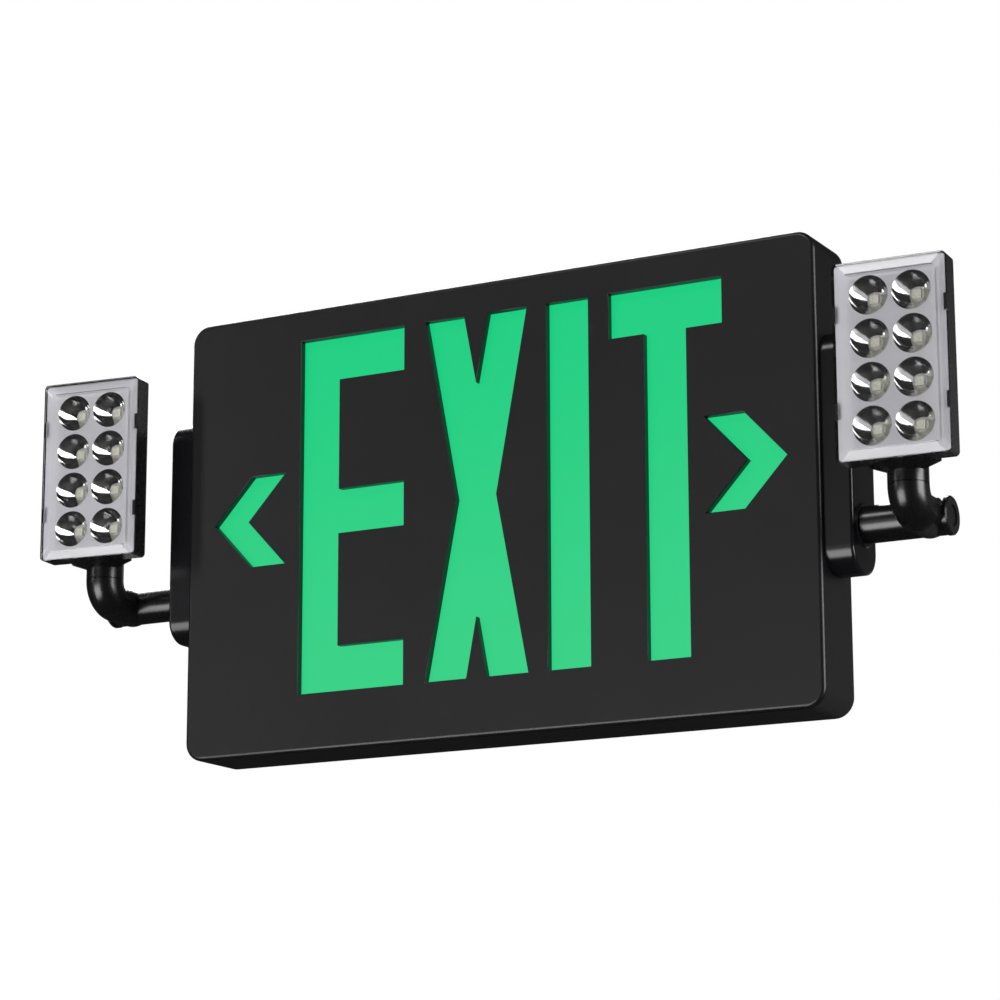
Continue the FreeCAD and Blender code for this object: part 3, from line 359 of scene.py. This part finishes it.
def polished_silver(name, roughness):
    """Mirror coating of the bowls with faint cloudiness."""
    finish = new_finish(name)
    slow = finish.noise(0.004, 3.0, 0.6)
    shade = finish.mix(slow.between(0.35, 0.75), (0.93, 0.93, 0.94), (0.84, 0.84, 0.83))
    normal = finish.bump(finish.noise(0.002, 2.0, 0.5), 0.12, 0.00008)
    return finish.done(finish.principled(Base_Color=shade, Metallic=1.0, Roughness=roughness + slow * 0.05,
                                         Normal=normal))


def clear_plastic(name):
    """Clear moulded cover: see-through without bending light, with a gloss; its top and bottom walls painted
    dark.
    """
    finish = new_finish(name)
    haze = finish.noise(0.01, 3.0, 0.6)
    gloss = finish.principled(Base_Color=(1.0, 1.0, 1.0), Metallic=1.0,
                              Roughness=0.03 + haze.between(0.55, 0.85) * 0.05,
                              Normal=finish.bump(finish.noise(0.008, 2.0, 0.5), 0.1, 0.00003))
    clear = finish.node("ShaderNodeBsdfTransparent").outputs[0]
    mirrored = finish.node("ShaderNodeFresnel", inputs={"IOR": 1.49}).outputs[0]
    front = finish.blend(mirrored, clear, gloss)
    # Painted shade: the top and bottom walls of the clear cover are coloured dark, standing in for a
    # refracting edge's dark line.
    upright = finish.axes(finish.place("Normal"))[2]
    painted_dark_wall = finish.principled(Base_Color=tone(18, 18, 20), Roughness=0.2)
    edge = (upright * upright).between(0.7, 0.9)
    return finish.done(finish.blend(edge, front, painted_dark_wall))


def sheet_metal(name, base, roughness, brushed=(1.0, 1.0, 1.0)):
    """Plated or bare metal with a fine drawn grain."""
    finish = new_finish(name)
    along = finish.scaled(finish.place(), brushed)
    grain = finish.noise(0.0006, 3.0, 0.6, at=along)
    shade = finish.mix(grain.between(0.35, 0.7), base, [level * 0.8 for level in base])
    return finish.done(finish.principled(Base_Color=shade, Metallic=1.0,
                                         Roughness=roughness + (grain - 0.5) * 0.12,
                                         Normal=finish.bump(grain, 0.15, 0.00003)))


def matt_part(name, base, roughness, fleck):
    """Board, wrap or tape with a flecked surface."""
    finish = new_finish(name)
    spots = finish.noise(fleck, 4.0, 0.6)
    shade = finish.mix(spots.between(0.4, 0.7), base, [level * 0.72 for level in base])
    return finish.done(finish.principled(Base_Color=shade, Roughness=roughness + (spots - 0.5) * 0.15,
                                         Normal=finish.bump(spots, 0.2, 0.00005)))


# ---------------------------------------------------------------- pieces
def add_piece(name, mesh, body, material):
    """A new piece that rides on a body."""
    piece = bpy.data.objects.new(name, mesh)
    bpy.context.scene.collection.objects.link(piece)
    piece.data.materials.clear()
    piece.data.materials.append(material)
    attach(piece, body)
    return piece


def dress(material, *nodes):
    """Gives a finish to carried-over nodes."""
    for name in nodes:
        mesh = frame["nodes"][name].data
        mesh.materials.clear()
        mesh.materials.append(material)


def both(*names):
    """The node names of a pair of pieces, left and right."""
    return [f"{side}_{name}" for side in ("left", "right") for name in names]


def soften(mesh, angle):
    """Smooth shading that keeps edges sharper than angle degrees."""
    mesh.shade_smooth()
    mesh.set_sharp_from_angle(angle=math.radians(angle))


def weld(mesh):
    """Joins the doubled vertices of a carried-over mesh and clears the lines across flat faces."""
    form = bmesh.new()
    form.from_mesh(mesh)
    bmesh.ops.remove_doubles(form, verts=form.verts, dist=WELD_DISTANCE)
    bmesh.ops.dissolve_limit(form, angle_limit=math.radians(FLAT_ANGLE), verts=form.verts, edges=form.edges)
    form.to_mesh(mesh)
    form.free()


def prism(outline, y0, y1):
    """A closed block with an outline in X and Z, from y0 to y1."""
    form = bmesh.new()
    near = [form.verts.new((x, y0, z)) for x, z in outline]
    far = [form.verts.new((x, y1, z)) for x, z in outline]
    form.faces.new(near)
    form.faces.new(list(reversed(far)))
    for i in range(len(outline)):
        j = (i + 1) % len(outline)
        form.faces.new((near[j], near[i], far[i], far[j]))
    bmesh.ops.recalc_face_normals(form, faces=form.faces)
    mesh = bpy.data.meshes.new("cutter")
    form.to_mesh(mesh)
    form.free()
    return mesh


def bar(left, right, low, high):
    """A rectangular outline."""
    return [(left, low), (right, low), (right, high), (left, high)]


def crossing(first, second):
    """Where two lines meet, each given by two points."""
    (x1, z1), (x2, z2) = first
    (x3, z3), (x4, z4) = second
    scale = (x1 - x2) * (z3 - z4) - (z1 - z2) * (x3 - x4)
    a = x1 * z2 - z1 * x2
    b = x3 * z4 - z3 * x4
    return (a * (x3 - x4) - (x1 - x2) * b) / scale, (a * (z3 - z4) - (z1 - z2) * b) / scale


def letter_outlines(legend):
    """The four block letters as closed outlines."""
    foot = legend.base
    top = foot + legend.height
    stroke = legend.stroke
    left = legend.first_left
    right = left + legend.first_width
    stem = left + stroke
    bar_low = legend.first_middle - stroke / 2
    bar_high = legend.first_middle + stroke / 2
    first = [(left, foot), (right, foot), (right, foot + stroke), (stem, foot + stroke), (stem, bar_low),
             (right, bar_low), (right, bar_high), (stem, bar_high), (stem, top - stroke),
             (right, top - stroke), (right, top), (left, top)]

    centre = legend.cross_centre
    out = legend.cross_half
    upper, lower = legend.cross_gap_top, legend.cross_gap_foot
    falling_left = ((centre - out, top), (centre + lower, foot))
    falling_right = ((centre - upper, top), (centre + out, foot))
    rising_left = ((centre + upper, top), (centre - out, foot))
    rising_right = ((centre + out, top), (centre - lower, foot))
    second = [falling_left[0], crossing(falling_left, rising_left), rising_left[1], rising_right[1],
              crossing(falling_left, rising_right), falling_left[1], falling_right[1],
              crossing(falling_right, rising_right), rising_right[0], rising_left[0],
              crossing(falling_right, rising_left), falling_right[0]]

    third = bar(legend.third_left, legend.third_left + stroke, foot, top)

    left = legend.last_left
    right = left + legend.last_width
    stem_left = (left + right - legend.last_stem) / 2
    stem_right = stem_left + legend.last_stem
    last = [(stem_left, foot), (stem_right, foot), (stem_right, top - stroke), (right, top - stroke),
            (right, top), (left, top), (left, top - stroke), (stem_left, top - stroke)]
    return first, second, third, last


class EXIT_LIGHT_OT_housing(bpy.types.Operator):
    """Housing with the letters cut through its face, back plate and lamp bases"""
    bl_idname = "exit_light.housing"
    bl_label = "Housing and legend"

    def execute(self, context):
        legend = context.scene.exit_light_legend
        finish = context.scene.exit_light_finish
        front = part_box("front_housing")[0].y
        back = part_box("lit_panel")[0].y - PANEL_GAP

        mesh = frame["nodes"]["front_housing"].data.copy()
        weld(mesh)
        piece = bpy.data.objects.new("legend_housing", mesh)
        context.scene.collection.objects.link(piece)
        cutters = []
        for outline in letter_outlines(legend):
            cutter = bpy.data.objects.new("cutter", prism(outline, front - CUT_OVERRUN, back))
            context.scene.collection.objects.link(cutter)
            cutters.append(cutter)
            cut = piece.modifiers.new("letter", "BOOLEAN")
            cut.operation = "DIFFERENCE"
            cut.solver = "EXACT"
            cut.object = cutter
        result = bpy.data.meshes.new_from_object(piece.evaluated_get(context.evaluated_depsgraph_get()))
        for spare in [piece] + cutters:
            bpy.data.objects.remove(spare)
        weld(result)
        self.soften_rims(result, front, legend.rim)
        soften(result, CREASE_ANGLE)

        black = moulded_plastic("moulded black plastic", finish.housing_colour, finish.housing_roughness,
                                finish.grain, 0.00005)
        body = frame["nodes"]["front_housing"]["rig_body"]
        housing = add_piece("legend_housing", result, body, black)
        weights = housing.modifiers.new("flat faces", "WEIGHTED_NORMAL")
        weights.keep_sharp = True
        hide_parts("front_housing")
        dress(black, "back_plate")
        dress(moulded_plastic("lamp base plastic", finish.housing_colour, finish.base_roughness, finish.grain,
                              0.00003), *both("lamp_base"))
        return {"FINISHED"}

    @staticmethod
    def soften_rims(mesh, front, width):
        """Rounds the front edge of every opening in the face."""
        form = bmesh.new()
        form.from_mesh(mesh)
        edges = []
        for edge in form.edges:
            if any(abs(v.co.y - front) > WELD_DISTANCE for v in edge.verts) or len(edge.link_faces) != 2:
                continue
            facing = sorted(abs(face.normal.y) for face in edge.link_faces)
            if facing[0] < SIDE_FACING and facing[1] > FRONT_FACING:
                edges.append(edge)
        bmesh.ops.bevel(form, geom=edges, offset=width, segments=2, profile=0.5, affect="EDGES",
                        clamp_overlap=True)
        form.to_mesh(mesh)
        form.free()


class EXIT_LIGHT_OT_legend_panel(bpy.types.Operator):
    """Lit green panel behind the openings, and what lights it"""
    bl_idname = "exit_light.legend_panel"
    bl_label = "Lit panel"

    def execute(self, context):
        finish = context.scene.exit_light_finish
        low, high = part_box("lit_panel")
        dress(lit_plastic("lit green panel", finish.green_top, finish.green_foot, low.z, high.z,
                          tone(8, 34, 24)), "lit_panel")
        dress(moulded_plastic("white tray", tone(225, 226, 222), 0.5, finish.grain, 0.00003), "light_tray")
        dress(matt_part("white light strip", tone(222, 224, 220), 0.45, 0.002), "upper_light_strip",
              "lower_light_strip")
        dress(matt_part("green diode", tone(190, 226, 170), 0.3, 0.0008), "strip_leds")
        return {"FINISHED"}


class EXIT_LIGHT_OT_arms(bpy.types.Operator):
    """Arms, barrel caps, lamp shells, washers, snap rings and base screws"""
    bl_idname = "exit_light.arms"
    bl_label = "Arms"

    def execute(self, context):
        finish = context.scene.exit_light_finish
        gloss = glossy_plastic("polished black plastic", finish.arm_colour, finish.arm_roughness)
        dress(gloss, *both("arm", "barrel_cap", "head_shell"))
        dress(sheet_metal("spring steel", tone(170, 170, 172), 0.32), *both("friction_washer", "journal_clip",
                                                                       "spigot_clip", "base_screws"))
        return {"FINISHED"}


class EXIT_LIGHT_OT_lamp_heads(bpy.types.Operator):
    """Reflectors, clear covers, light sources and lamp boards"""
    bl_idname = "exit_light.lamp_heads"
    bl_label = "Lamp heads"

    def execute(self, context):
        finish = context.scene.exit_light_finish
        plate = satin_silver("satin silver plate", finish.silver_colour, finish.silver_roughness)
        mirror = polished_silver("polished silver bowl", finish.bowl_roughness)
        for name in both("reflector"):
            dress(plate, name)
            mesh = frame["nodes"][name].data
            mesh.materials.append(mirror)
            for face in mesh.polygons:
                leans = abs(face.normal.x) > BOWL_LEAN_X or abs(face.normal.z) > BOWL_LEAN_Z
                if leans and face.normal.y < 0:
                    face.material_index = 1
        dress(clear_plastic("clear cover"), *both("lens"))
        dress(matt_part("phosphor", tone(242, 240, 224), 0.4, 0.0006), *both("head_leds"))
        dress(matt_part("white lamp board", tone(210, 212, 208), 0.5, 0.001), *both("led_board"))
        dress(sheet_metal("small screw steel", tone(168, 168, 170), 0.3), *both("led_board_screws"))
        return {"FINISHED"}


class EXIT_LIGHT_OT_inside(bpy.types.Operator):
    """Circuit board, battery and fasteners inside the sign"""
    bl_idname = "exit_light.inside"
    bl_label = "Inner parts and fasteners"

    def execute(self, context):
        dress(matt_part("green board", tone(28, 84, 48), 0.4, 0.0015), "circuit_board")
        dress(sheet_metal("laminated core", tone(120, 122, 126), 0.45, (1.0, 12.0, 1.0)), "transformer_core")
        dress(matt_part("coil tape", tone(196, 150, 40), 0.5, 0.001), "transformer_coil")
        dress(matt_part("black component", tone(26, 26, 28), 0.35, 0.0012), "relay", "charge_capacitor",
              "test_switch")
        dress(matt_part("green terminal", tone(40, 140, 70), 0.45, 0.0012), "terminal_block")
        dress(matt_part("battery wrap", tone(60, 120, 180), 0.35, 0.003), "battery_pack")
        dress(sheet_metal("plated screw", tone(176, 176, 178), 0.28), "case_screws", "tray_screws",
              "circuit_board_screws")
        return {"FINISHED"}


class EXIT_LIGHT_OT_controls(bpy.types.Operator):
    """Test button and charge indicator"""
    bl_idname = "exit_light.controls"
    bl_label = "Test button and indicator"

    def execute(self, context):
        dress(moulded_plastic("button plastic", tone(52, 53, 56), 0.38, 0.0005, 0.00003), "test_button")
        finish = new_finish("indicator lens")
        grain = finish.noise(0.0008, 2.0, 0.5)
        shade = finish.mix(grain.between(0.4, 0.6), tone(150, 16, 14), tone(120, 10, 10))
        dress(finish.done(finish.principled(Base_Color=shade, Roughness=0.12 + grain * 0.04, Coat_Weight=0.5,
                                            Emission_Color=shade, Emission_Strength=0.6)), "charge_indicator")
        return {"FINISHED"}


# ---------------------------------------------------------------- stage
def direction(azimuth, elevation):
    """The unit vector from the sign towards a place: azimuth from straight ahead (-Y) towards +X."""
    a, e = math.radians(azimuth), math.radians(elevation)
    return Vector((math.sin(a) * math.cos(e), -math.cos(a) * math.cos(e), math.sin(e)))


# name, azimuth and elevation in degrees, width and height in metres, radiance
soft_boxes = (
    ("low soft box", -24.0, -25.0, 1.5, 1.2, 6.0),
    ("front soft box", -13.0, 1.0, 0.9, 0.9, 0.6),
    ("left strip", -48.0, 12.0, 0.16, 0.9, 5.0),
    ("right soft box", 90.0, 6.0, 1.3, 1.3, 6.5),
    ("top soft box", -14.0, 44.0, 0.85, 0.45, 8.5),
    ("rear soft box", -135.0, 35.0, 1.6, 1.4, 9.0),
)


def soft_light(distance, name, azimuth, elevation, width, height, radiance):
    """A soft box that faces the sign."""
    light = bpy.data.lights.new(name, "AREA")
    light.shape = "RECTANGLE"
    light.size = width
    light.size_y = height
    light.energy = radiance * math.pi * width * height
    lamp = bpy.data.objects.new(name, light)
    towards = direction(azimuth, elevation)
    lamp.location = towards * distance
    lamp.rotation_mode = "QUATERNION"
    lamp.rotation_quaternion = towards.to_track_quat("Z", "Y")
    lamp.visible_camera = False
    bpy.context.scene.collection.objects.link(lamp)


class EXIT_LIGHT_OT_stage(bpy.types.Operator):
    """Camera, soft lights, pale floor and surroundings"""
    bl_idname = "exit_light.stage"
    bl_label = "Stage and lights"

    def execute(self, context):
        scene = context.scene
        stage = scene.exit_light_stage
        scene.view_settings.view_transform = "Standard"

        camera = bpy.data.objects.new("camera", bpy.data.cameras.new("camera"))
        camera.data.lens = stage.lens
        camera.data.sensor_width = 36.0
        camera.data.clip_end = 50.0
        camera.location = stage.camera_place
        camera.rotation_euler = stage.camera_turn
        scene.collection.objects.link(camera)
        scene.camera = camera

        for box in soft_boxes:
            soft_light(stage.reach, *box)
        self.surroundings(scene, stage.fill)
        self.floor(scene, stage.floor_drop)
        return {"FINISHED"}

    @staticmethod
    def surroundings(scene, fill):
        """White to camera and transmission rays, an even fill to diffuse rays; glossy rays see a dim room.

        The room that glossy rays see is paler behind the sign.
        """
        dim, paler = 0.02, 0.35
        finish = Finish(bpy.data.worlds.new("surroundings"))
        scene.world = finish.owner
        _, y, _ = finish.axes(finish.place("Generated"))
        room = finish.mix(y.between(0.92, 0.97) * paler + dim, (0.0, 0.0, 0.0), (1.0, 1.0, 1.0))
        white = (1.0, 1.0, 1.0, 1.0)
        even, seen, mirrored = [finish.node("ShaderNodeBackground", inputs={0: level, 1: strength}).outputs[0]
                                for level, strength in ((white, fill), (white, 1.0), (room, 1.0))]
        ray = finish.node("ShaderNodeLightPath").outputs
        unseen = finish.blend(ray["Is Glossy Ray"], even, mirrored)
        direct = Value(finish, ray["Is Camera Ray"]).larger(Value(finish, ray["Is Transmission Ray"]))
        finish.done(finish.blend(direct, unseen, seen))

    @staticmethod
    def floor(scene, drop):
        """A wide pale disc that fades into the white surroundings and is hidden from glossy rays."""
        radius, corners, fade_from, fade_to = 2.5, 96, 0.5, 2.3
        form = bmesh.new()
        bmesh.ops.create_circle(form, cap_ends=True, segments=corners, radius=radius,
                                matrix=Matrix.Translation((0.0, 0.0, -drop)))
        mesh = bpy.data.meshes.new("pale floor")
        form.to_mesh(mesh)
        form.free()
        finish = new_finish("pale floor")
        x, y, _ = finish.axes(finish.place())
        far = ((x * x + y * y) ** 0.5).between(fade_from, fade_to)
        grain = finish.noise(0.02, 3.0, 0.5)
        shade = finish.mix(grain.between(0.3, 0.7), (0.82, 0.82, 0.82), (0.78, 0.78, 0.78))
        pale = finish.principled(Base_Color=shade, Roughness=0.7)
        clear = finish.node("ShaderNodeBsdfTransparent").outputs[0]
        finish.done(finish.blend(far, pale, clear))
        floor = bpy.data.objects.new("pale_floor", mesh)
        floor.data.materials.append(finish.owner)
        scene.collection.objects.link(floor)
        floor.visible_glossy = False


class EXIT_LIGHT_PT_panel(bpy.types.Panel):
    """Lists the steps that dress the exit light"""
    bl_idname = "EXIT_LIGHT_PT_panel"
    bl_label = "Exit Light"
    bl_space_type = "VIEW_3D"
    bl_region_type = "UI"
    bl_category = "Exit Light"

    def draw(self, context):
        for step in steps:
            self.layout.operator(step.bl_idname)


settings = {
    "exit_light_legend": LegendSettings,
    "exit_light_finish": FinishSettings,
    "exit_light_stage": StageSettings,
}
steps = (
    EXIT_LIGHT_OT_stage,
    EXIT_LIGHT_OT_housing,
    EXIT_LIGHT_OT_legend_panel,
    EXIT_LIGHT_OT_arms,
    EXIT_LIGHT_OT_lamp_heads,
    EXIT_LIGHT_OT_inside,
    EXIT_LIGHT_OT_controls,
)


def register():
    for name, group in settings.items():
        bpy.utils.register_class(group)
        setattr(bpy.types.Scene, name, bpy.props.PointerProperty(type=group))
    for step in steps:
        bpy.utils.register_class(step)
    bpy.utils.register_class(EXIT_LIGHT_PT_panel)


def unregister():
    bpy.utils.unregister_class(EXIT_LIGHT_PT_panel)
    for step in reversed(steps):
        bpy.utils.unregister_class(step)
    for name, group in settings.items():
        delattr(bpy.types.Scene, name)
        bpy.utils.unregister_class(group)


def main():
    """Registers the add-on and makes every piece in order."""
    register()
    bpy.ops.exit_light.stage()
    bpy.ops.exit_light.housing()
    bpy.ops.exit_light.legend_panel()
    bpy.ops.exit_light.arms()
    bpy.ops.exit_light.lamp_heads()
    bpy.ops.exit_light.inside()
    bpy.ops.exit_light.controls()


if __name__ == "__main__":
    main()
